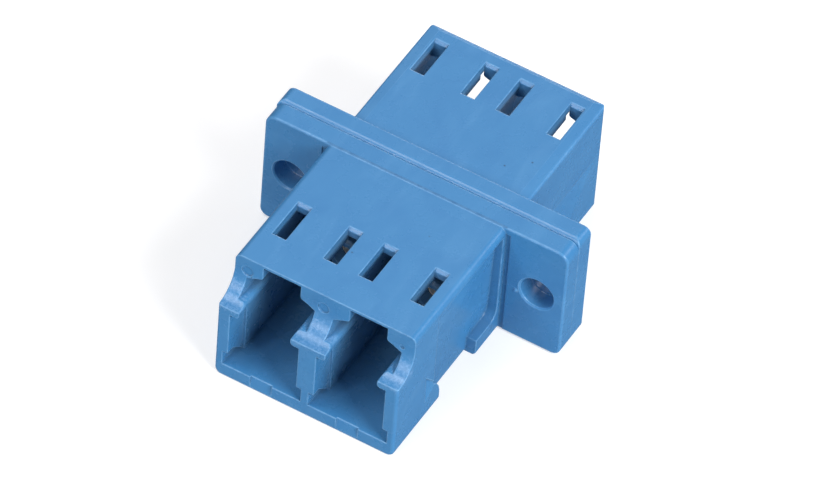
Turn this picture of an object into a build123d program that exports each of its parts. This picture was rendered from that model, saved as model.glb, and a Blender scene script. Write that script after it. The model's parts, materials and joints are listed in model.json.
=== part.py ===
"""Duplex fibre adapter with a screw flange, in millimetres.

Two blue mouldings are welded face to face in the middle of the flange. Each has two plug ports, side by
side, with a latch window on each side of every port. Two ceramic split sleeves are trapped between them.

X runs across the adapter, Y along the plugs and Z up. The front half points to -Y. While it is modelled
the adapter stands on Z = 0. It is written with its origin on the flange's front face, midway between the
screw holes.
"""
import math
import os

from build123d import *

# Body
FRONT_WIDTH = 13.0
REAR_WIDTH = 12.8
FRONT_HEIGHT = 9.33
REAR_HEIGHT = FRONT_HEIGHT - 0.14
FRONT_REACH = 12.88          # flange front face to the lower front face
REAR_REACH = 9.88            # flange rear face to the rear face
SWEEP = 1.89                 # radius of the hollow sweep that sets the top front edge back
SHOULDER_HEIGHT = 6.33       # top of the lower front face, where the sweep starts
FRONT_TOP_ROUND = 0.45
FRONT_BOTTOM_ROUND = 0.5
MOUTH_ROUND = 0.2            # upright edges of the front face
REAR_TOP_FALL = 0.1          # how much the margins of the rear half's top face slope down
REAR_TOP_MARGIN = 0.75       # width of those margins along the sides
REAR_END_MARGIN = 0.35       # and along the rear face
REAR_TOP_ROUND = 0.2
REAR_BOTTOM_ROUND = 0.1
REAR_MOUTH_ROUND = 0.4

# Flange
FLANGE_WIDTH = 22.0
FLANGE_LIFT = 0.12           # flange bottom above the body bottom
FRONT_PLATE_HEIGHT = FRONT_HEIGHT - 0.04
PLATE_STEP = 0.08            # the rear plate stands this much higher
FRONT_PLATE = 1.38
REAR_PLATE = 1.52
FRONT_PLATE_CORNER = 0.8
REAR_PLATE_CORNER = 0.55
PLATE_FOOT_CORNER = 0.6
PLATE_EDGE = 0.12
SEAM_ROUND = 0.5             # top edge of the rear plate, along the seam
FLANGE_GROOVE_WIDTH = 0.35   # shallow groove beside the body
FLANGE_GROOVE = 0.1
SCREW_PITCH = FLANGE_WIDTH - 4
SCREW_HOLE = 2.4
SCREW_HEIGHT = 4.78
SCREW_RIM = 0.1

# Ports, measured from each port's centre line
PORT_PITCH = 6.25
AXIS_HEIGHT = 3.38           # ferrule axis above the bottom
PORT_WIDTH = 4.7
PORT_FLOOR = 1.08
RAIL_GAP = 3.73
RAIL_BOTTOM = 5.83
RAIL_TOP = 6.53
RAIL_ROUND = 0.25
CHANNEL_WIDTH = 4.95         # behind the pads and above the rails, for the latch lugs
PAD_GAP = 2.7
PAD_TIP_BOTTOM = 8.08
PAD_ROOT_BOTTOM = 7.65
PAD_ROUND = 0.2
ROOF = 0.7
BAR = 1.1                    # thickness of the bar between the two windows of a port
BAR_GAP = 0.4                # pads to the bar, along Y
PAD_DEPTH_FRONT = 2.64
PAD_DEPTH_REAR = 1.28
WEB = 1.0                    # wall behind each port, up to the weld

# Mouth of each port
MOUTH_WIDTH = 4.98
MOUTH_DEPTH_REAR = 0.9
RELIEF_WIDTH = 5.71          # undercut beside the floor
RELIEF_HEIGHT = 1.15
RELIEF_FLAT = 0.61
ROOF_LEAD = 0.5              # height of the lead-in under the roof
ROOF_LEAD_LENGTH = 0.7
LIP_RAMP_WIDTH = 1.55        # steep flat ramp in the front of the floor, in the middle of each port
LIP_RAMP_TOP = 0.14          # how far it reaches back at the floor
LIP_RAMP_FOOT = 0.22         # height of its foot

# Latch windows in the roof
WINDOW_WIDTH = 1.0
WINDOW_LENGTH = 3.0
WINDOW_OFFSET = 1.85         # window centre to port centre
WINDOW_LEAD = 0.2

# Clip seat in each side wall of the front half
SEAT_TOP = 8.73
SEAT_KNEE_HEIGHT = 7.63
SEAT_KNEE_DEPTH = 0.58
SEAT_BOTTOM_DEPTH = 0.75
SEAT_BEVEL = 0.2             # bevel at the very bottom, below the port floor
SEAT_KNEE_ROUND = 2.0
SEAT_START = 4.78            # lower front face to the seat
SEAT_RIB = 0.25              # rib left beside the flange
SHELF_LENGTH = 2.47
SHELF_HEIGHT = 1.33
SHELF_ROUND = 0.8
SHELF_BEVEL = 0.2            # lower edge of the shelf
FOOT_LENGTH = 0.85
FOOT_STRAIGHT = 0.83
FOOT_ROUND = 2.0

# Three-cornered hollow in the foot of the clip seat, as (Y from the lower front face, Z)
HOLLOW_TOP = (3.66, 4.0)
HOLLOW_LOW = (3.76, 1.6)
HOLLOW_TIP = (5.02, 2.42)
HOLLOW_DEPTH = 0.35

# Scooped recess in each side wall of the rear half
SCOOP_TOP = 4.85
SCOOP_BOTTOM = 1.13
SCOOP_END = 0.98             # from the rear face
SCOOP_DEPTH = 0.6            # beside the flange, at the top
SCOOP_RUN_OUT = 50.8         # degrees that its vanishing edge falls towards the flange

# Sleeves and their bosses
SLEEVE_LENGTH = 6.8
SLEEVE_OUTER = 1.6
SLEEVE_BORE = 1.25
SLEEVE_SLOT = 0.3
SLEEVE_CHAMFER = 0.08
SLEEVE_CLEARANCE = 0.06      # all round and at each end
BOSS_OUTER = 2.9
BOSS_LIP = 0.75
BOSS_LIP_BORE = 1.36         # beside the sleeve
BOSS_MOUTH_BORE = 1.9        # at the nose
BOSS_CHAMFER = 0.2

# Small round marks on the upper front face, as (X, Z, diameter)
PIN_MARKS = ((-5.6, 8.22, 0.8), (-0.1, 8.2, 0.8), (5.57, 8.1, 0.3))
PIN_MARK_DEPTH = 0.05

# Small moulded nib on the flange, beside the right screw hole
NIB_X = SCREW_PITCH / 2 - 1.46
NIB_HEIGHT = SCREW_HEIGHT - 0.5
NIB_WIDTH = 0.3
NIB_REACH = 0.1

# Places worked out from the sizes
FRONT_FACE = -FRONT_REACH
TOP_EDGE = FRONT_FACE + SWEEP
WELD = FRONT_PLATE
FLANGE_REAR = FRONT_PLATE + REAR_PLATE
REAR_FACE = FLANGE_REAR + REAR_REACH
PORT_CENTRES = (-PORT_PITCH / 2, PORT_PITCH / 2)
WINDOW_CENTRES = [port + side * WINDOW_OFFSET for port in PORT_CENTRES for side in (-1, 1)]
FRONT_SIDE = FRONT_WIDTH / 2
REAR_SIDE = REAR_WIDTH / 2
SPARE = 1.0                  # how far a cutter stands out of what it cuts


def box(x0, x1, y0, y1, z0, z1):
    """Box between two corners."""
    centre = ((x0 + x1) / 2, (y0 + y1) / 2, (z0 + z1) / 2)
    return Pos(*centre) * Box(x1 - x0, y1 - y0, z1 - z0)


def along_y(outline, y0, y1):
    """Prism of an outline drawn in X and Z, from y0 to y1."""
    plane = Plane(origin=(0, y1, 0), x_dir=(1, 0, 0), z_dir=(0, -1, 0))
    return extrude(plane * outline, amount=y1 - y0)


def along_x(outline, x0, x1):
    """Prism of an outline drawn in Y and Z, from x0 to x1."""
    plane = Plane(origin=(x0, 0, 0), x_dir=(0, 1, 0), z_dir=(1, 0, 0))
    return extrude(plane * outline, amount=x1 - x0)


def rod_y(x, z, diameter, y0, y1):
    """Round bar along Y."""
    return along_y(Pos(x, z) * Circle(diameter / 2), y0, y1)


def polygon(*points):
    """Closed flat outline through the points."""
    return make_face(Polyline(*points, close=True))


def corners_at(outline, *points):
    """The outline's corners at the given points."""
    return [min(outline.vertices(), key=lambda v: (v.X - x) ** 2 + (v.Y - z) ** 2) for x, z in points]


def both_sides(shape):
    """A shape and its mirror image across the adapter."""
    return shape + mirror(shape, about=Plane.YZ)


def port_outline(height, with_pads):
    """Cross-section of one port: plug space, gap between the rails, latch channel and latch gap."""
    bore, rail, channel, pad = PORT_WIDTH / 2, RAIL_GAP / 2, CHANNEL_WIDTH / 2, PAD_GAP / 2
    roof = height - ROOF
    half = [(bore, PORT_FLOOR), (bore, RAIL_BOTTOM), (rail, RAIL_BOTTOM)]
    half += [(rail, RAIL_TOP), (channel, RAIL_TOP)]
    if with_pads:
        half += [(channel, PAD_ROOT_BOTTOM), (pad, PAD_TIP_BOTTOM), (pad, roof)]
    else:
        half += [(channel, roof), (pad, roof), (pad, height - BAR)]
    outline = polygon(*half, *[(-x, z) for x, z in reversed(half)])
    rail_tips = [(side * rail, z) for side in (-1, 1) for z in (RAIL_BOTTOM, RAIL_TOP)]
    outline = fillet(corners_at(outline, *rail_tips), RAIL_ROUND)
    if with_pads:
        outline = fillet(corners_at(outline, (-pad, PAD_TIP_BOTTOM), (pad, PAD_TIP_BOTTOM)), PAD_ROUND)
    return outline


def port_space(height, mouth, stop, wall):
    """Space for one plug: from its mouth past the latch pads, which end at stop, to the wall."""
    inward = 1 if wall > mouth else -1
    outward, bar_start = mouth - inward * SPARE, stop + inward * BAR_GAP
    front = along_y(port_outline(height, True), *sorted((outward, stop)))
    back = along_y(port_outline(height, False), *sorted((stop, wall)))
    gap = box(-PAD_GAP / 2, PAD_GAP / 2, *sorted((stop, bar_start)), height - BAR, height - ROOF)
    return front + back + gap


def roof_lead(height, edge, inward):
    """Lead-in under the roof's edge, which starts at edge and runs inward by ROOF_LEAD_LENGTH."""
    roof = height - ROOF
    end = edge + inward * ROOF_LEAD_LENGTH
    outward = edge - inward * SPARE
    outline = polygon((end, roof), (edge, roof + ROOF_LEAD), (outward, roof + ROOF_LEAD),
                      (outward, roof - PAD_ROUND), (end, roof - PAD_ROUND))
    return along_x(outline, -PAD_GAP / 2, PAD_GAP / 2)


def windows(height, stop, inward):
    """Latch windows in the roof, each with a small lead at its rear edge."""
    start, end = sorted((stop, stop + inward * WINDOW_LENGTH))
    bottom = height - BAR
    outline = polygon((start, height + SPARE), (start, bottom), (end, bottom), (end, height - WINDOW_LEAD),
                      (end + WINDOW_LEAD, height), (end + WINDOW_LEAD, height + SPARE))
    one = along_x(outline, -WINDOW_WIDTH / 2, WINDOW_WIDTH / 2)
    return [Pos(x, 0, 0) * one for x in WINDOW_CENTRES]


def plate_outline(height, corner):
    """Outline of a flange plate with its rounded corners."""
    half, bottom, top = FLANGE_WIDTH / 2, FLANGE_LIFT, FLANGE_LIFT + height
    outline = polygon((-half, bottom), (half, bottom), (half, top), (-half, top))
    outline = fillet(corners_at(outline, (-half, top), (half, top)), corner)
    return fillet(corners_at(outline, (-half, bottom), (half, bottom)), PLATE_FOOT_CORNER)


def screw_holes(y0, y1, rim_y, rim_inward):
    """Screw holes with a narrow bevel at the open face."""
    holes = []
    for side in (-1, 1):
        x = side * SCREW_PITCH / 2
        holes.append(rod_y(x, SCREW_HEIGHT, SCREW_HOLE, y0, y1))
        base = Plane(origin=(x, rim_y, SCREW_HEIGHT), z_dir=(0, rim_inward, 0))
        bevel = Cone(SCREW_HOLE / 2 + SCREW_RIM, SCREW_HOLE / 2, SCREW_RIM,
                     align=(Align.CENTER, Align.CENTER, Align.MIN))
        holes.append(base * bevel)
    return holes


def front_plate():
    """Front half of the flange."""
    plate = along_y(plate_outline(FRONT_PLATE_HEIGHT, FRONT_PLATE_CORNER), 0, WELD)
    return fillet(plate.faces().sort_by(Axis.Y)[0].edges(), PLATE_EDGE)


def rear_plate():
    """Rear half of the flange. Its top edge is rounded along the seam and runs out at the corners."""
    height = FRONT_PLATE_HEIGHT + PLATE_STEP
    top = FLANGE_LIFT + height
    plate = along_y(plate_outline(height, REAR_PLATE_CORNER), WELD, FLANGE_REAR)
    plate = fillet(plate.faces().sort_by(Axis.Y)[-1].edges(), PLATE_EDGE)
    side = polygon((WELD, 0), (FLANGE_REAR, 0), (FLANGE_REAR, top), (WELD, top))
    side = fillet(corners_at(side, (WELD, top)), SEAM_ROUND)
    return plate & along_x(side, -FLANGE_WIDTH / 2, FLANGE_WIDTH / 2)


def front_body():
    """Body of the front half, with the hollow sweep above its shoulder."""
    sweep_top = SHOULDER_HEIGHT + SWEEP
    outline = make_face(
        Polyline((TOP_EDGE, sweep_top), (TOP_EDGE, FRONT_HEIGHT), (WELD, FRONT_HEIGHT), (WELD, 0),
                 (FRONT_FACE, 0), (FRONT_FACE, SHOULDER_HEIGHT))
        + CenterArc((FRONT_FACE, sweep_top), SWEEP, -90, 90))
    body = along_x(outline, -FRONT_SIDE, FRONT_SIDE)
    lengthways = body.edges().filter_by(Axis.Y)
    body = fillet(lengthways.group_by(Axis.Z)[-1], FRONT_TOP_ROUND)
    body = fillet(body.edges().filter_by(Axis.Y).group_by(Axis.Z)[0], FRONT_BOTTOM_ROUND)
    upright = [e for e in body.edges().filter_by(Axis.Z) if e.center().Y < TOP_EDGE - SWEEP / 2]
    return fillet(upright, MOUTH_ROUND)


def rear_body():
    """Body of the rear half: its outlines seen from the end, from the side and from above."""
    eaves = REAR_HEIGHT - REAR_TOP_FALL
    ridge = REAR_SIDE - REAR_TOP_MARGIN
    end_view = polygon((-REAR_SIDE, 0), (REAR_SIDE, 0), (REAR_SIDE, eaves), (ridge, REAR_HEIGHT),
                       (-ridge, REAR_HEIGHT), (-REAR_SIDE, eaves))
    end_view = fillet(corners_at(end_view, (-REAR_SIDE, eaves), (REAR_SIDE, eaves)), REAR_TOP_ROUND)
    end_view = fillet(corners_at(end_view, (-REAR_SIDE, 0), (REAR_SIDE, 0)), REAR_BOTTOM_ROUND)
    side_view = polygon((WELD, 0), (REAR_FACE, 0), (REAR_FACE, eaves),
                        (REAR_FACE - REAR_END_MARGIN, REAR_HEIGHT), (WELD, REAR_HEIGHT))
    side_view = fillet(corners_at(side_view, (REAR_FACE, eaves)), REAR_TOP_ROUND)
    plan = polygon((-REAR_SIDE, WELD), (REAR_SIDE, WELD), (REAR_SIDE, REAR_FACE), (-REAR_SIDE, REAR_FACE))
    plan = fillet(corners_at(plan, (-REAR_SIDE, REAR_FACE), (REAR_SIDE, REAR_FACE)), REAR_MOUTH_ROUND)
    body = along_y(end_view, WELD, REAR_FACE) & along_x(side_view, -REAR_SIDE, REAR_SIDE)
    return body & extrude(plan, amount=REAR_HEIGHT)


def boss(x, wall, direction):
    """Tube that holds half of a sleeve, standing on the wall and pointing along direction."""
    nose = WELD + direction * (SLEEVE_LENGTH / 2 + SLEEVE_CLEARANCE + BOSS_LIP)
    tube = rod_y(x, AXIS_HEIGHT, BOSS_OUTER, *sorted((wall, nose)))
    ends = tube.faces().filter_by(Axis.Y).sort_by(Axis.Y)
    return chamfer(ends[0 if direction < 0 else -1].edges(), BOSS_CHAMFER)


def boss_bore(x, direction):
    """Space for half of a sleeve, and the tapered hole in the lip that leads a ferrule into it."""
    seat = WELD + direction * (SLEEVE_LENGTH / 2 + SLEEVE_CLEARANCE)
    nose = seat + direction * BOSS_LIP
    bore = rod_y(x, AXIS_HEIGHT, SLEEVE_OUTER + 2 * SLEEVE_CLEARANCE, *sorted((WELD, seat)))
    lead = Cone(BOSS_MOUTH_BORE / 2, BOSS_LIP_BORE / 2, BOSS_LIP,
                align=(Align.CENTER, Align.CENTER, Align.MIN))
    return bore + Plane(origin=(x, nose, AXIS_HEIGHT), z_dir=(0, -direction, 0)) * lead


def mouth_cuts():
    """Wider plug mouth, the undercuts beside its floor and the ramp in its lip, for one port."""
    half = MOUTH_WIDTH / 2
    wide = box(-half, half, FRONT_FACE - SPARE, TOP_EDGE, PORT_FLOOR, RAIL_BOTTOM)
    ceiling = PORT_FLOOR + RELIEF_HEIGHT
    relief_side = polygon((FRONT_FACE - SPARE, PORT_FLOOR), (FRONT_FACE - SPARE, ceiling),
                          (FRONT_FACE + RELIEF_FLAT, ceiling), (TOP_EDGE, PORT_FLOOR))
    relief = along_x(relief_side, -RELIEF_WIDTH / 2, RELIEF_WIDTH / 2)
    ramp_side = polygon((FRONT_FACE - SPARE, PORT_FLOOR + SPARE), (FRONT_FACE - SPARE, LIP_RAMP_FOOT),
                        (FRONT_FACE, LIP_RAMP_FOOT), (FRONT_FACE + LIP_RAMP_TOP, PORT_FLOOR),
                        (FRONT_FACE + LIP_RAMP_TOP, PORT_FLOOR + SPARE))
    ramp = along_x(ramp_side, -LIP_RAMP_WIDTH / 2, LIP_RAMP_WIDTH / 2)
    return wide + relief + ramp


def clip_seat():
    """Recess in the right side wall of the front half. It leaves a foot, a shelf and a rib."""
    start, end = FRONT_FACE + SEAT_START, -SEAT_RIB
    knee = (FRONT_SIDE - SEAT_KNEE_DEPTH, SEAT_KNEE_HEIGHT)
    floor = FRONT_SIDE - SEAT_BOTTOM_DEPTH
    section = polygon((FRONT_SIDE + SPARE, SEAT_TOP), (FRONT_SIDE, SEAT_TOP), knee, (floor, SEAT_BEVEL),
                      (floor - SEAT_BEVEL, 0), (floor - SEAT_BEVEL, -SPARE), (FRONT_SIDE + SPARE, -SPARE))
    section = fillet(corners_at(section, knee), SEAT_KNEE_ROUND)
    shelf_start = end - SHELF_LENGTH
    side_view = polygon((start, SEAT_TOP), (end, SEAT_TOP), (end, SHELF_HEIGHT), (shelf_start, SHELF_HEIGHT),
                        (shelf_start, -SPARE), (start, -SPARE))
    side_view = fillet(corners_at(side_view, (end, SHELF_HEIGHT)), SHELF_ROUND)
    foot_end = start + FOOT_LENGTH
    foot = polygon((start - SPARE, -2 * SPARE), (foot_end, -2 * SPARE), (foot_end, FOOT_STRAIGHT),
                   (start - SPARE, FOOT_STRAIGHT))
    foot += Pos(foot_end - FOOT_ROUND, FOOT_STRAIGHT) * Circle(FOOT_ROUND)
    side_view -= foot
    return along_y(section, start, end) & along_x(side_view, FRONT_SIDE - 2 * SPARE, FRONT_SIDE + SPARE)


def foot_hollow():
    """Three-cornered hollow in the foot of the clip seat. Its floor rises to the edge from low to tip."""
    top, low, tip = [(FRONT_FACE + y, z) for y, z in (HOLLOW_TOP, HOLLOW_LOW, HOLLOW_TIP)]
    depth = FRONT_SIDE - HOLLOW_DEPTH
    corners = [Vector(FRONT_SIDE, *low), Vector(FRONT_SIDE, *tip), Vector(depth, *top)]
    slope = (corners[1] - corners[0]).cross(corners[2] - corners[0])
    floor = Plane(origin=corners[0], z_dir=slope if slope.X > 0 else -slope)
    above = floor * Box(FRONT_REACH, FRONT_REACH, SPARE, align=(Align.CENTER, Align.CENTER, Align.MIN))
    return above & along_x(polygon(top, low, tip), depth, FRONT_SIDE + SPARE)


def rear_scoop():
    """Recess in the right side wall of the rear half: a sloped floor that runs out towards the rear."""
    run_out = REAR_FACE - SCOOP_END
    across = SCOOP_DEPTH / (run_out - FLANGE_REAR)
    fall = across / math.tan(math.radians(SCOOP_RUN_OUT))
    floor = Plane(origin=(REAR_SIDE, run_out, SCOOP_TOP), z_dir=(1, -across, fall))
    reach = 2 * (REAR_FACE - FLANGE_REAR)
    above = floor * Box(reach, reach, reach, align=(Align.CENTER, Align.CENTER, Align.MIN))
    return above & box(REAR_SIDE - SPARE, REAR_SIDE + SPARE, FLANGE_REAR, run_out, SCOOP_BOTTOM, SCOOP_TOP)


def pin_marks():
    """Shallow round marks on the upper front face."""
    return [rod_y(x, z, diameter, TOP_EDGE - SPARE, TOP_EDGE + PIN_MARK_DEPTH)
            for x, z, diameter in PIN_MARKS]


def shelf_foot():
    """Bevelled lower edge of the right shelf, where the body's own lower edge is rounded."""
    inner = FRONT_SIDE - FRONT_BOTTOM_ROUND
    corner = polygon((inner, 0), (FRONT_SIDE - SHELF_BEVEL, 0), (FRONT_SIDE, SHELF_BEVEL),
                     (FRONT_SIDE, FRONT_BOTTOM_ROUND), (inner, FRONT_BOTTOM_ROUND))
    return along_y(corner, -SEAT_RIB - SHELF_LENGTH, 0)


def flange_nib():
    """Small domed nib on the flange's front face."""
    radius = (NIB_WIDTH ** 2 / 4 + NIB_REACH ** 2) / (2 * NIB_REACH)
    return Pos(NIB_X, radius - NIB_REACH, NIB_HEIGHT) * Sphere(radius)


def flange_groove():
    """Shallow groove in the flange's front face, beside the right side of the body."""
    return box(FRONT_SIDE, FRONT_SIDE + FLANGE_GROOVE_WIDTH, -SPARE, FLANGE_GROOVE,
               -SPARE, FRONT_HEIGHT - FRONT_TOP_ROUND)


def front_housing():
    """Front moulding: flange plate, body, ports, windows, clip seats and sleeve bosses."""
    wall = WELD - WEB
    stop = TOP_EDGE + PAD_DEPTH_FRONT
    housing = front_plate() + front_body()
    for x in PORT_CENTRES:
        housing -= Pos(x, 0, 0) * port_space(FRONT_HEIGHT, FRONT_FACE, stop, wall)
        housing -= Pos(x, 0, 0) * mouth_cuts()
        housing -= Pos(x, 0, 0) * roof_lead(FRONT_HEIGHT, TOP_EDGE, 1)
        housing += boss(x, wall, -1)
        housing -= boss_bore(x, -1)
    housing -= windows(FRONT_HEIGHT, stop, 1)
    housing -= both_sides(clip_seat())
    housing -= both_sides(foot_hollow())
    housing -= both_sides(flange_groove())
    housing += both_sides(shelf_foot())
    housing += flange_nib()
    housing -= pin_marks()
    return housing - screw_holes(-SPARE, WELD, 0, 1)


def rear_housing():
    """Rear moulding: flange plate, body, ports, windows, side scoops and sleeve bosses."""
    wall = WELD + WEB
    stop = REAR_FACE - PAD_DEPTH_REAR
    half = MOUTH_WIDTH / 2
    wide = box(-half, half, REAR_FACE - MOUTH_DEPTH_REAR, REAR_FACE + SPARE, PORT_FLOOR, RAIL_BOTTOM)
    housing = rear_plate() + rear_body()
    for x in PORT_CENTRES:
        housing -= Pos(x, 0, 0) * port_space(REAR_HEIGHT, REAR_FACE, stop, wall)
        housing -= Pos(x, 0, 0) * wide
        housing -= Pos(x, 0, 0) * roof_lead(REAR_HEIGHT, REAR_FACE, -1)
        housing += boss(x, wall, 1)
        housing -= boss_bore(x, 1)
    housing -= windows(REAR_HEIGHT, stop, -1)
    housing -= both_sides(rear_scoop())
    return housing - screw_holes(WELD, FLANGE_REAR + SPARE, FLANGE_REAR, -1)


def split_sleeve(x):
    """Ceramic sleeve with a slot along its top, centred on the weld."""
    start, end = WELD - SLEEVE_LENGTH / 2, WELD + SLEEVE_LENGTH / 2
    sleeve = chamfer(rod_y(x, AXIS_HEIGHT, SLEEVE_OUTER, start, end).edges(), SLEEVE_CHAMFER)
    sleeve -= rod_y(x, AXIS_HEIGHT, SLEEVE_BORE, start - SPARE, end + SPARE)
    slot = box(x - SLEEVE_SLOT / 2, x + SLEEVE_SLOT / 2, start - SPARE, end + SPARE,
               AXIS_HEIGHT, AXIS_HEIGHT + SLEEVE_OUTER)
    return sleeve - slot


def main():
    """Build each piece and write it in the adapter's own frame."""
    pieces = {
        "front_housing": front_housing(),
        "rear_housing": rear_housing(),
        "left_split_sleeve": split_sleeve(PORT_CENTRES[0]),
        "right_split_sleeve": split_sleeve(PORT_CENTRES[1]),
    }
    os.makedirs("parts", exist_ok=True)
    for name, piece in pieces.items():
        export_step(Pos(0, 0, -SCREW_HEIGHT) * piece, f"parts/{name}.step")


main()
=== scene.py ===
"""Finishes, studio and camera of a duplex fibre adapter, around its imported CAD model.

Laid out as an add-on and run as a script. Lengths are in metres unless a name says otherwise.
"""

import json
import math

import bpy
from bpy.props import FloatProperty, FloatVectorProperty, PointerProperty
from mathutils import Matrix, Vector


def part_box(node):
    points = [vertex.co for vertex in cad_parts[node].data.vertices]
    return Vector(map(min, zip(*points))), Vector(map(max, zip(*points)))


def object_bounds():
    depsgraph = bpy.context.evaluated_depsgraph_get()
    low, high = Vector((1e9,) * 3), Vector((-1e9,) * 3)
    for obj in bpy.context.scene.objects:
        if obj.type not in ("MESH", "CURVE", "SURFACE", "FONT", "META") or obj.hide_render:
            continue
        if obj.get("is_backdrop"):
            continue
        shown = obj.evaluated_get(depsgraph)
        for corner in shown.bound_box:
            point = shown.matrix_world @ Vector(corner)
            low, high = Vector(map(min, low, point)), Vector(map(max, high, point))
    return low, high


bl_info = {
    "name": "Duplex Fibre Adapter",
    "version": (1, 0, 0),
    "blender": (4, 5, 0),
    "location": "View3D > Sidebar > Adapter",
    "description": "Moulded and ceramic finishes, studio and camera for a duplex fibre adapter",
    "category": "Object",
}

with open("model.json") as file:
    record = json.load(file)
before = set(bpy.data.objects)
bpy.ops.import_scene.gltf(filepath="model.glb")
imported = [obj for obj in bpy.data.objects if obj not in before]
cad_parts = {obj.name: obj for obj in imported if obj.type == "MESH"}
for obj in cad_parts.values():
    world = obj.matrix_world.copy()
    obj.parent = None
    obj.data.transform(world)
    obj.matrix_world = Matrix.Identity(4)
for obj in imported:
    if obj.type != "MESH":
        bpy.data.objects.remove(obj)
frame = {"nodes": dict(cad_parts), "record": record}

HOUSINGS = ("front_housing", "rear_housing")
SLEEVES = ("left_split_sleeve", "right_split_sleeve")
MM = 0.001

PHOTO_WIDTH_PX = 820
SENSOR_WIDTH_MM = 36.0

# The nodes of a material are laid out in columns and rows this far apart.
COLUMN = 220
ROW = -260

# Likeness of a rounded normal to the flat one, well away from any edge and right at one
NO_TURN = 0.9995
FULL_TURN = 0.9965

# Samples that find the edges and the hollows
NORMAL_SAMPLES = 8
OPEN_SPACE_SAMPLES = 6

# Patterns of the plastic, in features per millimetre
SWIRLS_PER_MM = 0.3
FLOWS_PER_MM = 0.8
WEAR_PATCHES_PER_MM = 1.7
SCUFFS_PER_MM = 5.0
SPECKS_PER_MM = 0.385
GLOSS_PATCHES_PER_MM = 0.55
GRAINS_PER_MM = 9.0
SINKS_PER_MM = 0.42

# Flow marks are drawn out along the plugs, a little askew.
FLOW_STRETCH = (0.9, 0.22, 0.9)
FLOW_TURN = math.radians(17)

# Values of a pattern between which its effect grows from none to full
SWIRL_SPAN = (0.4, 0.72)
FLOW_SPAN = (0.5, 0.74)
WEAR_SPAN = (0.36, 0.66)
SCUFF_SPAN = (0.47, 0.62)
GLOSS_SPAN = (0.3, 0.7)
# The hollow and crease spans set where painted shade starts and where it is full.
HOLLOW_SPAN = (0.46, 0.1)    # share of open space in front of a point
CREASE_SPAN = (0.85, 0.45)

LEAST_WEAR = 0.25            # share of the wear that stays between its patches
WORN_ROUGHER = 0.15
SCUFFED_ROUGHER = 0.2
LINE_ROUGHER = 0.4
LINE_STRENGTH = 0.75
SPECK_STRENGTH = 0.85
SPECK_CORE = 0.4             # share of a speck's radius that is fully dark
ROOF_SPECKS_MM = ((3.66, 4.68, 4.41), (4.99, 5.87, 4.41))    # where the photo has two of them
PLASTIC_IOR = 1.5

# Where plugs scuff the front mouth and its sweeps get a painted highlight, in millimetres behind its front
# and below the top of the flange
SCUFFED_DEPTH_MM = (1.85, 1.6)
SCUFFED_FOOT_MM = (3.5, 2.9)
SCUFFED_TOP_MM = (0.9, 1.5)

# The fine line of painted shade where the front roof meets the flange. Its drop is counted from the flange's
# top.
LINE_MIDDLE_MM = 0.09
LINE_HALF_WIDTH_MM = (0.08, 0.05)
LINE_HALF_LENGTH_MM = (6.6, 6.5)
LINE_DROP_MM = (0.25, 0.15)

# Patterns of the ceramic. The rings run round the sleeve, so they change fast along it.
CLOUDS_PER_MM = 1.1
CLOUD_SPAN = (0.35, 0.7)
RINGS_PER_MM = 1.6
RING_STRETCH = (0.4, 9.0, 0.4)
RING_ROUGHER = 0.08
CERAMIC_IOR = 2.1

FLOOR_ROUGHNESS = 0.9
FLOOR_GLOSS = 0.1
ROOM_COLOUR = (1.0, 1.0, 1.0, 1.0)
CLIP_START = 0.01
CLIP_END = 10.0


def record_colour(slot):
    """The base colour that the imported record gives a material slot, with full alpha."""
    for material in frame["record"]["materials"]:
        if material["slot"] == slot:
            return (*material["base_color"], 1.0)
    raise RuntimeError(f"the record has no material slot named {slot}")


def direction(azimuth, elevation):
    """Unit vector towards a place seen at that azimuth and elevation; azimuth 0 is in front, at -Y."""
    flat = math.cos(elevation)
    return Vector((math.sin(azimuth) * flat, -math.cos(azimuth) * flat, math.sin(elevation)))


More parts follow.
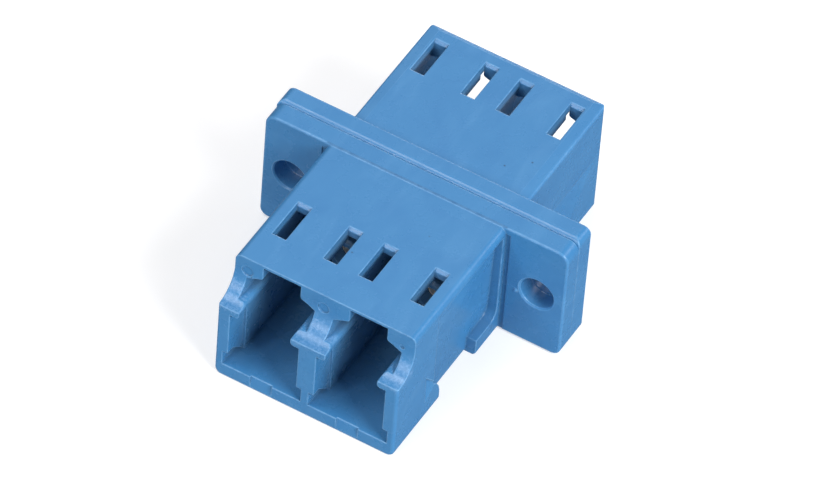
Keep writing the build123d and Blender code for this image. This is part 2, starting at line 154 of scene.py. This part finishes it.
class NodeBoard:
    """A material's node tree with short calls for adding and joining nodes."""

    def __init__(self, name):
        self.material = bpy.data.materials.new(name)
        self.material.use_nodes = True
        self.tree = self.material.node_tree
        self.tree.nodes.clear()

    def add(self, kind, column, row, label="", **settings):
        """Adds a node at a place of the board and sets its properties."""
        node = self.tree.nodes.new(kind)
        node.location = (column * COLUMN, row * ROW)
        node.label = label
        for key, value in settings.items():
            setattr(node, key, value)
        return node

    def join(self, source, target):
        """Links an output socket to an input socket."""
        self.tree.links.new(source, target)

    def noise(self, column, row, label, vector, scale, detail=2.0, roughness=0.5, distortion=0.0):
        """A noise pattern; its scale is in features per unit of the vector."""
        node = self.add("ShaderNodeTexNoise", column, row, label)
        node.inputs["Scale"].default_value = scale
        node.inputs["Detail"].default_value = detail
        node.inputs["Roughness"].default_value = roughness
        node.inputs["Distortion"].default_value = distortion
        self.join(vector, node.inputs["Vector"])
        return node.outputs["Fac"]

    def remap(self, column, row, label, value, span, to_low=0.0, to_high=1.0):
        """Stretches a value from one range to another, and stops at its ends."""
        node = self.add("ShaderNodeMapRange", column, row, label)
        node.inputs["From Min"].default_value, node.inputs["From Max"].default_value = span
        node.inputs["To Min"].default_value = to_low
        node.inputs["To Max"].default_value = to_high
        self.join(value, node.inputs["Value"])
        return node.outputs["Result"]

    def maths(self, column, row, label, operation, first, second):
        """One sum of two values; each is a socket or a number."""
        node = self.add("ShaderNodeMath", column, row, label, operation=operation)
        for socket, value in zip(node.inputs, (first, second)):
            if isinstance(value, (int, float)):
                socket.default_value = value
            else:
                self.join(value, socket)
        return node.outputs["Value"]

    def blend(self, column, row, label, share, first, second):
        """Mixes two colours by a share; each colour is a socket or four numbers."""
        node = self.add("ShaderNodeMix", column, row, label, data_type="RGBA")
        self.join(share, node.inputs["Factor"])
        for name, colour in (("A", first), ("B", second)):
            socket = next(s for s in node.inputs if s.name == name and s.type == "RGBA")
            if isinstance(colour, bpy.types.NodeSocket):
                self.join(colour, socket)
            else:
                socket.default_value = colour
        return next(s for s in node.outputs if s.type == "RGBA")

    def millimetres(self, column, row, stretch=(1.0, 1.0, 1.0), turn=(0.0, 0.0, 0.0)):
        """Object coordinates in millimetres, stretched or turned where a pattern has a direction."""
        place = self.add("ShaderNodeTexCoord", column, row, "place on the piece")
        mapping = self.add("ShaderNodeMapping", column + 1, row, "millimetres", vector_type="POINT")
        mapping.inputs["Scale"].default_value = [s / MM for s in stretch]
        mapping.inputs["Rotation"].default_value = turn
        self.join(place.outputs["Object"], mapping.inputs["Vector"])
        return mapping.outputs["Vector"]


class MouldingFinish(bpy.types.PropertyGroup):
    """Colours and surface of the moulded blue plastic."""

    colour: FloatVectorProperty(
        name="Colour",
        description="Main colour of the moulded plastic",
        default=record_colour("moulding"),
        size=4,
        min=0.0,
        max=1.0,
        subtype="COLOR",
    )
    deep_colour: FloatVectorProperty(
        name="Deep Colour",
        description="Colour of the darker swirls where the pigment gathers",
        default=(0.026, 0.15, 0.37, 1.0),
        size=4,
        min=0.0,
        max=1.0,
        subtype="COLOR",
    )
    # The paler edges are partly rubbed wear and partly painted highlight along the edges; the flow marks are
    # the melt's own.
    worn_and_highlight_colour: FloatVectorProperty(
        name="Worn Colour",
        description="Paler colour of the rubbed edges and the flow marks",
        default=(0.17, 0.4, 0.68, 1.0),
        size=4,
        min=0.0,
        max=1.0,
        subtype="COLOR",
    )
    speck_colour: FloatVectorProperty(
        name="Speck Colour",
        description="Colour of the few dark specks of dust and burnt resin",
        default=(0.02, 0.05, 0.1, 1.0),
        size=4,
        min=0.0,
        max=1.0,
        subtype="COLOR",
    )
    swirl: FloatProperty(
        name="Swirl",
        description="Strength of the darker swirls",
        default=0.3,
        min=0.0,
        max=1.0,
        subtype="FACTOR",
    )
    flow_marks: FloatProperty(
        name="Flow Marks",
        description="Strength of the pale marks that the melt left as it flowed",
        default=0.1,
        min=0.0,
        max=1.0,
        subtype="FACTOR",
    )
    # The paler mouth is partly scuffing by plugs and partly painted highlight on its sweeps.
    scuffed_and_highlight_colour: FloatVectorProperty(
        name="Scuffed Colour",
        description="Whitened colour where plugs scuff the mouth",
        default=(0.26, 0.46, 0.74, 1.0),
        size=4,
        min=0.0,
        max=1.0,
        subtype="COLOR",
    )
    scuffs_and_highlight: FloatProperty(
        name="Scuffs",
        description="Strength of the scuffs in the mouth",
        default=0.5,
        min=0.0,
        max=1.0,
        subtype="FACTOR",
    )
    # Painted shade: the three settings below turn the colour darker and greyer deep in the ports and holes,
    # where little light reaches.
    hollow_shade_colour: FloatVectorProperty(
        name="Hollow Colour",
        description="Greyer colour deep in the ports and holes, where fine dust stays",
        default=(0.15, 0.3, 0.46, 1.0),
        size=4,
        min=0.0,
        max=1.0,
        subtype="COLOR",
    )
    hollow: FloatProperty(
        name="Hollow Strength",
        description="Strength of the greyer colour in the hollows",
        default=0.8,
        min=0.0,
        max=1.0,
        subtype="FACTOR",
    )
    hollow_reach: FloatProperty(
        name="Hollow Reach",
        description="How far apart walls may stand and still make a hollow",
        default=7.0 * MM,
        min=0.0,
        max=20.0 * MM,
        subtype="DISTANCE",
        unit="LENGTH",
    )
    # Painted shade: the three settings below darken the inner corners. The same colour also paints the shade
    # line at the flange.
    crease_shade_colour: FloatVectorProperty(
        name="Crease Colour",
        description="Darker colour of the lines in the inner corners and at the flange",
        default=(0.014, 0.088, 0.225, 1.0),
        size=4,
        min=0.0,
        max=1.0,
        subtype="COLOR",
    )
    crease: FloatProperty(
        name="Crease Strength",
        description="Strength of the darker lines in the inner corners",
        default=0.45,
        min=0.0,
        max=1.0,
        subtype="FACTOR",
    )
    crease_width: FloatProperty(
        name="Crease Width",
        description="How far the darker line reaches out of an inner corner",
        default=0.5 * MM,
        min=0.0,
        max=2.0 * MM,
        subtype="DISTANCE",
        unit="LENGTH",
    )
    specks: FloatProperty(
        name="Specks",
        description="Radius of the dark specks",
        default=0.085 * MM,
        min=0.0,
        max=0.5 * MM,
        subtype="DISTANCE",
        unit="LENGTH",
    )
    roughness: FloatProperty(
        name="Roughness",
        description="Roughness of the clean surface",
        default=0.27,
        min=0.05,
        max=1.0,
        subtype="FACTOR",
    )
    roughness_change: FloatProperty(
        name="Roughness Change",
        description="How far the roughness wanders over the surface",
        default=0.05,
        min=0.0,
        max=0.4,
        subtype="FACTOR",
    )
    edge_round: FloatProperty(
        name="Edge Round",
        description="Radius of the soft light along the moulded edges",
        default=0.13 * MM,
        min=0.0,
        max=0.5 * MM,
        subtype="DISTANCE",
        unit="LENGTH",
    )
    # The paler edges below are partly rubbed wear and partly painted highlight.
    wear_width: FloatProperty(
        name="Wear Width",
        description="How far the rubbed colour reaches in from an edge",
        default=0.11 * MM,
        min=0.0,
        max=0.6 * MM,
        subtype="DISTANCE",
        unit="LENGTH",
    )
    wear: FloatProperty(
        name="Wear",
        description="Strength of the paler rubbed edges",
        default=0.7,
        min=0.0,
        max=1.0,
        subtype="FACTOR",
    )
    grain_depth: FloatProperty(
        name="Grain Depth",
        description="Height of the fine spark-eroded grain",
        default=0.0016 * MM,
        min=0.0,
        max=0.02 * MM,
        subtype="DISTANCE",
        unit="LENGTH",
    )
    sink_depth: FloatProperty(
        name="Sink Depth",
        description="Height of the slow waves where thick walls shrank",
        default=0.004 * MM,
        min=0.0,
        max=0.1 * MM,
        subtype="DISTANCE",
        unit="LENGTH",
    )


class SleeveFinish(bpy.types.PropertyGroup):
    """Colour and surface of the ceramic sleeves."""

    colour: FloatVectorProperty(
        name="Colour",
        description="Main colour of the ceramic",
        default=record_colour("sleeve"),
        size=4,
        min=0.0,
        max=1.0,
        subtype="COLOR",
    )
    shade: FloatVectorProperty(
        name="Shade",
        description="Slightly darker colour of its clouds",
        default=(0.74, 0.71, 0.64, 1.0),
        size=4,
        min=0.0,
        max=1.0,
        subtype="COLOR",
    )
    roughness: FloatProperty(
        name="Roughness",
        description="Roughness of the polished ceramic",
        default=0.16,
        min=0.02,
        max=1.0,
        subtype="FACTOR",
    )
    lapping_depth: FloatProperty(
        name="Lapping Depth",
        description="Height of the fine rings that grinding leaves",
        default=0.0006 * MM,
        min=0.0,
        max=0.01 * MM,
        subtype="DISTANCE",
        unit="LENGTH",
    )


class StudioSettings(bpy.types.PropertyGroup):
    """Floor, light and camera."""

    floor_colour: FloatVectorProperty(
        name="Floor Colour",
        description="Colour of the plain floor",
        default=(0.6, 0.6, 0.6, 1.0),
        size=4,
        min=0.0,
        max=1.0,
        subtype="COLOR",
    )
    floor_size: FloatProperty(
        name="Floor Size",
        description="Side of the floor",
        default=1.6,
        min=0.1,
        subtype="DISTANCE",
        unit="LENGTH",
    )
    floor_glow: FloatProperty(
        name="Floor Glow",
        description="Even light from below the floor, as on a light table",
        default=0.78,
        min=0.0,
        max=2.0,
    )
    room_light: FloatProperty(
        name="Room Light",
        description="Brightness of the even light from all round",
        default=0.18,
        min=0.0,
        max=5.0,
    )
    camera_azimuth: FloatProperty(
        name="Camera Azimuth",
        description="How far the camera stands round to the right of the ports",
        default=math.radians(27.0364763),
        subtype="ANGLE",
    )
    camera_elevation: FloatProperty(
        name="Camera Elevation",
        description="How far the camera looks down",
        default=math.radians(47.9958485),
        subtype="ANGLE",
    )
    camera_roll: FloatProperty(
        name="Camera Roll",
        description="Turn of the picture about the line of sight",
        default=math.radians(4.82308639),
        subtype="ANGLE",
    )
    camera_distance: FloatProperty(
        name="Camera Distance",
        description="Distance from the camera to the point it aims at",
        default=593.781669 * MM,
        min=0.01,
        subtype="DISTANCE",
        unit="LENGTH",
    )
    camera_focal_px: FloatProperty(
        name="Focal Length in Pixels",
        description="Focal length for a picture that is 820 pixels wide",
        default=9470.19148,
        min=1.0,
    )
    camera_aim: FloatVectorProperty(
        name="Camera Aim",
        description="Point in the middle of the picture",
        default=(0.0933983967 * MM, -0.441729654 * MM, 0.0),
        size=3,
        subtype="TRANSLATION",
        unit="LENGTH",
    )


def edge_share(board, column, row, reach):
    """How near a point is to an edge, from 0 to 1, by how far a rounded normal turns from the flat one."""
    surface = board.add("ShaderNodeNewGeometry", column, row, "surface")
    rounded = board.add("ShaderNodeBevel", column, row + 1, "reach of an edge", samples=NORMAL_SAMPLES)
    rounded.inputs["Radius"].default_value = reach
    likeness = board.add("ShaderNodeVectorMath", column + 1, row, "turn at an edge", operation="DOT_PRODUCT")
    board.join(surface.outputs["Normal"], likeness.inputs[0])
    board.join(rounded.outputs["Normal"], likeness.inputs[1])
    return board.remap(column + 2, row, "near an edge", likeness.outputs["Value"], (NO_TURN, FULL_TURN))


def hollow_share(board, column, row, reach, span):
    """How closed in a point is by walls within reach, from 0 to 1; the span is of open space."""
    space = board.add("ShaderNodeAmbientOcclusion", column, row, "open space", only_local=True)
    space.samples = OPEN_SPACE_SAMPLES
    space.inputs["Distance"].default_value = reach
    return board.remap(column + 1, row, "closed in", space.outputs["AO"], span)


def limits_from(side, sign, limits):
    """Limits in millimetres, counted from the side of a box upwards (1) or downwards (-1)."""
    return [side / MM + sign * limit for limit in limits]


def mouth_share(board, column, row, place):
    """The part of the front mouth that plugs rub against and that gets a painted highlight, above its
    shoulder, from 0 to 1.
    """
    low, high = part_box("front_housing")
    split = board.add("ShaderNodeSeparateXYZ", column, row, "place along each axis")
    board.join(place, split.inputs[0])
    depth = limits_from(low[1], 1, SCUFFED_DEPTH_MM)
    foot = limits_from(high[2], -1, SCUFFED_FOOT_MM)
    head = limits_from(high[2], -1, SCUFFED_TOP_MM)
    near_front = board.remap(column + 1, row, "near the front", split.outputs["Y"], depth)
    above = board.remap(column + 1, row + 1, "above the shoulder", split.outputs["Z"], foot)
    below = board.remap(column + 1, row + 2, "below the roof", split.outputs["Z"], head)
    share = board.maths(column + 2, row, "mouth", "MULTIPLY", near_front, above)
    return board.maths(column + 3, row, "mouth", "MULTIPLY", share, below)


def flange_shade_line_share(board, column, row, place):
    """The fine line of painted shade where the front body's roof meets the flange, from 0 to 1."""
    _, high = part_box("front_housing")
    drop = limits_from(high[2], -1, LINE_DROP_MM)
    split = board.add("ShaderNodeSeparateXYZ", column, row, "place along each axis")
    board.join(place, split.inputs[0])
    along = board.maths(column + 1, row, "from its middle", "SUBTRACT", split.outputs["Y"], LINE_MIDDLE_MM)
    along = board.maths(column + 1, row + 2, "distance along Y", "ABSOLUTE", along, 0.0)
    across = board.maths(column + 1, row + 1, "distance along X", "ABSOLUTE", split.outputs["X"], 0.0)
    near = board.remap(column + 2, row, "at the flange", along, LINE_HALF_WIDTH_MM)
    inside = board.remap(column + 2, row + 1, "on the body", across, LINE_HALF_LENGTH_MM)
    above = board.remap(column + 2, row + 2, "on the roof", split.outputs["Z"], drop)
    share = board.maths(column + 3, row, "line", "MULTIPLY", near, inside)
    return board.maths(column + 4, row, "line", "MULTIPLY", share, above)


def roof_speck_share(board, column, row, place, radius):
    """The single dark specks on the rear roof, from 0 to 1."""
    share = 0.0
    span = (radius, SPECK_CORE * radius)
    for index, centre in enumerate(ROOF_SPECKS_MM):
        away = board.add("ShaderNodeVectorMath", column, row + index, "distance", operation="DISTANCE")
        board.join(place, away.inputs[0])
        away.inputs[1].default_value = centre
        dot = board.remap(column + 1, row + index, "speck", away.outputs["Value"], span)
        share = board.maths(column + 2, row + index, "specks", "MAXIMUM", share, dot)
    return share


def moulded_blue(finish):
    """Semi-gloss moulded plastic with the marks of its moulding and of use, painted shade in its hollows,
    inner corners and at the flange line, and painted highlight along its edges and in the mouth.
    """
    board = NodeBoard("moulded_blue")
    place = board.millimetres(0, 0)
    flow = board.millimetres(0, 2, stretch=FLOW_STRETCH, turn=(0.0, 0.0, FLOW_TURN))

    swirl = board.noise(2, 0, "pigment swirls", place, SWIRLS_PER_MM, detail=3.0, distortion=1.2)
    swirl_share = board.remap(3, 0, "swirl share", swirl, SWIRL_SPAN, 0.0, finish.swirl)
    streak = board.noise(2, 2, "flow marks", flow, FLOWS_PER_MM, detail=4.0, roughness=0.62, distortion=0.8)
    streak_share = board.remap(3, 2, "flow mark share", streak, FLOW_SPAN, 0.0, finish.flow_marks)
    colour = board.blend(4, 0, "swirled colour", swirl_share, finish.colour, finish.deep_colour)
    colour = board.blend(5, 0, "flow marks", streak_share, colour, finish.worn_and_highlight_colour)

    # Painted shade: darker, greyer colour deep in the ports and holes.
    hollow = hollow_share(board, 2, 3, finish.hollow_reach, HOLLOW_SPAN)
    painted_hollow_shade = board.maths(4, -1, "hollow strength", "MULTIPLY", hollow, finish.hollow)
    colour = board.blend(6, -1, "hollows", painted_hollow_shade, colour, finish.hollow_shade_colour)
    # Painted shade in the inner corners.
    creased = hollow_share(board, 4, 3, finish.crease_width, CREASE_SPAN)
    painted_crease_shade = board.maths(6, 3, "crease strength", "MULTIPLY", creased, finish.crease)
    colour = board.blend(7, -1, "creases", painted_crease_shade, colour, finish.crease_shade_colour)

    # Painted shade: a fine dark line where the front roof meets the flange.
    line = flange_shade_line_share(board, 0, 19, place)
    painted_line_shade = board.maths(5, 19, "line strength", "MULTIPLY", line, LINE_STRENGTH)
    colour = board.blend(8, -1, "line at the flange", painted_line_shade, colour, finish.crease_shade_colour)

    # Paler scuffs in the mouth, partly real scuffing and partly painted highlight on the sweeps.
    scuffs_and_highlight = board.noise(2, 14, "scuffs_and_highlight", place, SCUFFS_PER_MM, detail=6.0, roughness=0.8)
    scuffs_and_highlight = board.remap(3, 14, "scuff share", scuffs_and_highlight, SCUFF_SPAN)
    scuffs_and_highlight = board.maths(4, 14, "scuffed mouth", "MULTIPLY", scuffs_and_highlight, mouth_share(board, 0, 15, place))
    scuffs_and_highlight = board.maths(5, 14, "scuff strength", "MULTIPLY", scuffs_and_highlight, finish.scuffs_and_highlight)
    colour = board.blend(6, -2, "scuffs_and_highlight", scuffs_and_highlight, colour, finish.scuffed_and_highlight_colour)

    # Paler edges, partly rubbed wear and partly painted highlight along the edges.
    near_edge = edge_share(board, 2, 4, finish.wear_width)
    patchy = board.noise(3, 6, "patchy wear", place, WEAR_PATCHES_PER_MM, detail=5.0, roughness=0.65)
    patches = board.remap(4, 6, "patches", patchy, WEAR_SPAN, LEAST_WEAR, 1.0)
    rubbed_and_highlit = board.maths(5, 4, "rubbed edge", "MULTIPLY", near_edge, patches)
    rubbed_and_highlit = board.maths(6, 4, "wear strength", "MULTIPLY", rubbed_and_highlit, finish.wear)
    outer = board.maths(6, 5, "not in a crease", "SUBTRACT", 1.0, creased)
    rubbed_and_highlit = board.maths(7, 5, "outer edges only", "MULTIPLY", rubbed_and_highlit, outer)
    colour = board.blend(7, 0, "rubbed edges", rubbed_and_highlit, colour, finish.worn_and_highlight_colour)

    dots = board.add("ShaderNodeTexVoronoi", 2, 8, "specks")
    dots.inputs["Scale"].default_value = SPECKS_PER_MM
    board.join(place, dots.inputs["Vector"])
    speck_edge = finish.specks / MM * SPECKS_PER_MM
    dot = dots.outputs["Distance"]
    speck_share = board.remap(3, 8, "speck share", dot, (speck_edge, SPECK_CORE * speck_edge))
    on_roof = roof_speck_share(board, 0, 23, place, finish.specks / MM)
    speck_share = board.maths(4, 8, "all specks", "MAXIMUM", speck_share, on_roof)
    speck_share = board.maths(5, 8, "speck strength", "MULTIPLY", speck_share, SPECK_STRENGTH)
    colour = board.blend(8, 0, "specks", speck_share, colour, finish.speck_colour)

    wander = board.noise(2, 9, "gloss wander", place, GLOSS_PATCHES_PER_MM, detail=4.0, roughness=0.6)
    low = finish.roughness - finish.roughness_change
    high = finish.roughness + finish.roughness_change
    gloss = board.remap(3, 9, "roughness", wander, GLOSS_SPAN, low, high)
    for row, label, share, rougher in (
        (4, "rougher where rubbed", rubbed_and_highlit, WORN_ROUGHER),
        (14, "rougher where scuffed", scuffs_and_highlight, SCUFFED_ROUGHER),
        (19, "rougher line", line, LINE_ROUGHER),
    ):
        added = board.maths(7, row, label, "MULTIPLY", share, rougher)
        gloss = board.maths(8, row, label, "ADD", gloss, added)

    grain = board.noise(2, 10, "spark-eroded grain", place, GRAINS_PER_MM, detail=3.0, roughness=0.7)
    waves = board.noise(2, 11, "sinks", place, SINKS_PER_MM, detail=1.5)
    rounded = board.add("ShaderNodeBevel", 4, 12, "rounded edges", samples=NORMAL_SAMPLES)
    rounded.inputs["Radius"].default_value = finish.edge_round
    wavy = board.add("ShaderNodeBump", 5, 11, "sinks")
    wavy.inputs["Distance"].default_value = finish.sink_depth
    board.join(waves, wavy.inputs["Height"])
    board.join(rounded.outputs["Normal"], wavy.inputs["Normal"])
    grainy = board.add("ShaderNodeBump", 6, 10, "grain")
    grainy.inputs["Distance"].default_value = finish.grain_depth
    board.join(grain, grainy.inputs["Height"])
    board.join(wavy.outputs["Normal"], grainy.inputs["Normal"])

    shader = board.add("ShaderNodeBsdfPrincipled", 9, 0, "moulded plastic")
    shader.inputs["IOR"].default_value = PLASTIC_IOR
    board.join(colour, shader.inputs["Base Color"])
    board.join(gloss, shader.inputs["Roughness"])
    board.join(grainy.outputs["Normal"], shader.inputs["Normal"])
    board.join(shader.outputs["BSDF"], board.add("ShaderNodeOutputMaterial", 10, 0).inputs["Surface"])
    return board.material


def polished_ceramic(finish):
    """Polished ceramic with faint clouds and the fine rings that grinding leaves."""
    board = NodeBoard("polished_ceramic")
    place = board.millimetres(0, 0)
    rings = board.millimetres(0, 2, stretch=RING_STRETCH)

    clouds = board.noise(2, 0, "clouds", place, CLOUDS_PER_MM, detail=3.0)
    share = board.remap(3, 0, "cloud share", clouds, CLOUD_SPAN)
    colour = board.blend(4, 0, "ceramic", share, finish.colour, finish.shade)
    lapping = board.noise(2, 2, "grinding rings", rings, RINGS_PER_MM, detail=3.0, roughness=0.6)
    rougher = finish.roughness + RING_ROUGHER
    gloss = board.remap(3, 2, "roughness", lapping, GLOSS_SPAN, finish.roughness, rougher)
    ringed = board.add("ShaderNodeBump", 4, 2, "grinding rings")
    ringed.inputs["Distance"].default_value = finish.lapping_depth
    board.join(lapping, ringed.inputs["Height"])

    shader = board.add("ShaderNodeBsdfPrincipled", 6, 0, "ceramic")
    shader.inputs["IOR"].default_value = CERAMIC_IOR
    board.join(colour, shader.inputs["Base Color"])
    board.join(gloss, shader.inputs["Roughness"])
    board.join(ringed.outputs["Normal"], shader.inputs["Normal"])
    board.join(shader.outputs["BSDF"], board.add("ShaderNodeOutputMaterial", 7, 0).inputs["Surface"])
    return board.material


def coat(node, material):
    """Gives a CAD node one material in place of the one it was packed with."""
    mesh = frame["nodes"][node].data
    mesh.materials.clear()
    mesh.materials.append(material)


class ADAPTER_OT_finish_housings(bpy.types.Operator):
    """Give both moulded housings the blue plastic finish"""

    bl_idname = "adapter.finish_housings"
    bl_label = "Finish Housings"

    def execute(self, context):
        material = moulded_blue(context.scene.adapter_moulding)
        for node in HOUSINGS:
            coat(node, material)
        return {"FINISHED"}


class ADAPTER_OT_finish_sleeves(bpy.types.Operator):
    """Give both split sleeves the polished ceramic finish"""

    bl_idname = "adapter.finish_sleeves"
    bl_label = "Finish Split Sleeves"

    def execute(self, context):
        material = polished_ceramic(context.scene.adapter_sleeve)
        for node in SLEEVES:
            coat(node, material)
        return {"FINISHED"}


# name, azimuth and elevation in degrees, distance, side lengths, power in watts, colour
SOFTBOXES = (
    ("overhead_softbox", -62.0, 70.0, 0.40, (0.15, 0.20), 0.57, (1.0, 1.0, 1.0)),
    ("key_softbox", 72.0, 36.0, 0.45, (0.20, 0.20), 2.08, (1.0, 1.0, 1.0)),
    ("port_fill", -8.0, 26.0, 0.45, (0.14, 0.10), 0.30, (1.0, 0.98, 0.97)),
    ("front_strip", -22.0, 36.0, 0.40, (0.05, 0.24), 0.13, (0.97, 0.96, 1.0)),
    ("front_glint", -22.0, 36.0, 0.40, (0.03, 0.03), 0.09, (0.97, 0.95, 1.0)),
    ("back_softbox", 145.0, 30.0, 0.40, (0.20, 0.14), 0.25, (0.96, 0.94, 1.0)),
    ("low_back_strip", -162.0, 9.0, 0.40, (0.30, 0.07), 0.30, (0.97, 0.96, 1.0)),
    ("back_left_softbox", -153.0, 48.0, 0.45, (0.30, 0.30), 0.20, (1.0, 0.97, 0.98)),
)


def plain_floor(settings):
    """A pale floor that the object stands on. Its glare is kept out of the object's gloss."""
    bpy.ops.object.select_all(action="DESELECT")
    low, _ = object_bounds()
    bpy.ops.mesh.primitive_plane_add(size=settings.floor_size, location=(0.0, 0.0, low[2]))
    floor = bpy.context.object
    floor.name = "studio_floor"
    bpy.ops.object.transform_apply(location=True, rotation=False, scale=False)
    board = NodeBoard("pale_floor")
    shader = board.add("ShaderNodeBsdfPrincipled", 0, 0, "pale paper")
    shader.inputs["Base Color"].default_value = settings.floor_colour
    shader.inputs["Roughness"].default_value = FLOOR_ROUGHNESS
    shader.inputs["Specular IOR Level"].default_value = FLOOR_GLOSS
    shader.inputs["Emission Color"].default_value = settings.floor_colour
    shader.inputs["Emission Strength"].default_value = settings.floor_glow
    board.join(shader.outputs["BSDF"], board.add("ShaderNodeOutputMaterial", 1, 0).inputs["Surface"])
    floor.data.materials.append(board.material)
    floor.visible_glossy = False
    floor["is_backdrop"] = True


def softbox(name, azimuth, elevation, distance, sides, power, colour):
    """An area light that faces the object."""
    away = direction(math.radians(azimuth), math.radians(elevation))
    lamp = bpy.data.lights.new(name, "AREA")
    lamp.shape = "RECTANGLE"
    lamp.size, lamp.size_y = sides
    lamp.energy = power
    lamp.color = colour
    holder = bpy.data.objects.new(name, lamp)
    holder.location = away * distance
    holder.rotation_euler = away.to_track_quat("Z", "Y").to_euler()
    bpy.context.scene.collection.objects.link(holder)


def room_light(strength):
    """Even light from all round."""
    world = bpy.data.worlds.new("even_room")
    world.use_nodes = True
    shader = world.node_tree.nodes["Background"]
    shader.inputs["Color"].default_value = ROOM_COLOUR
    shader.inputs["Strength"].default_value = strength
    bpy.context.scene.world = world


def place_camera(settings):
    """The camera that the photograph was matched with."""
    azimuth, elevation, roll = settings.camera_azimuth, settings.camera_elevation, settings.camera_roll
    back = direction(azimuth, elevation)
    level_right = Vector((math.cos(azimuth), math.sin(azimuth), 0.0))
    level_up = back.cross(level_right)
    right = math.cos(roll) * level_right + math.sin(roll) * level_up
    up = -math.sin(roll) * level_right + math.cos(roll) * level_up
    lens = bpy.data.cameras.new("photo_camera")
    lens.sensor_fit = "HORIZONTAL"
    lens.sensor_width = SENSOR_WIDTH_MM
    lens.lens = settings.camera_focal_px * SENSOR_WIDTH_MM / PHOTO_WIDTH_PX
    lens.clip_start = CLIP_START
    lens.clip_end = CLIP_END
    camera = bpy.data.objects.new("photo_camera", lens)
    turn = Matrix((right, up, back)).transposed().to_4x4()
    place = Matrix.Translation(Vector(settings.camera_aim) + back * settings.camera_distance)
    camera.matrix_world = place @ turn
    bpy.context.scene.collection.objects.link(camera)
    bpy.context.scene.camera = camera


class ADAPTER_OT_set_stage(bpy.types.Operator):
    """Lay the floor, hang the lights and place the camera"""

    bl_idname = "adapter.set_stage"
    bl_label = "Set Stage"

    def execute(self, context):
        settings = context.scene.adapter_studio
        plain_floor(settings)
        room_light(settings.room_light)
        for box in SOFTBOXES:
            softbox(*box)
        place_camera(settings)
        context.scene.view_settings.view_transform = "Standard"
        return {"FINISHED"}


class ADAPTER_PT_pieces(bpy.types.Panel):
    """Lists the adapter's finishes and its stage"""

    bl_idname = "ADAPTER_PT_pieces"
    bl_label = "Duplex Fibre Adapter"
    bl_space_type = "VIEW_3D"
    bl_region_type = "UI"
    bl_category = "Adapter"

    def draw(self, context):
        parts = (
            (context.scene.adapter_moulding, "adapter.finish_housings"),
            (context.scene.adapter_sleeve, "adapter.finish_sleeves"),
            (context.scene.adapter_studio, "adapter.set_stage"),
        )
        for group, operator in parts:
            box = self.layout.box()
            for name in group.__annotations__:
                box.prop(group, name)
            box.operator(operator)


CLASSES = (
    MouldingFinish,
    SleeveFinish,
    StudioSettings,
    ADAPTER_OT_finish_housings,
    ADAPTER_OT_finish_sleeves,
    ADAPTER_OT_set_stage,
    ADAPTER_PT_pieces,
)


def register():
    for cls in CLASSES:
        bpy.utils.register_class(cls)
    bpy.types.Scene.adapter_moulding = PointerProperty(type=MouldingFinish)
    bpy.types.Scene.adapter_sleeve = PointerProperty(type=SleeveFinish)
    bpy.types.Scene.adapter_studio = PointerProperty(type=StudioSettings)


def unregister():
    del bpy.types.Scene.adapter_studio
    del bpy.types.Scene.adapter_sleeve
    del bpy.types.Scene.adapter_moulding
    for cls in reversed(CLASSES):
        bpy.utils.unregister_class(cls)


def main():
    """Registers the add-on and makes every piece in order."""
    register()
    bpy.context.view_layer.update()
    bpy.ops.adapter.finish_housings()
    bpy.ops.adapter.finish_sleeves()
    bpy.ops.adapter.set_stage()


if __name__ == "__main__":
    main()
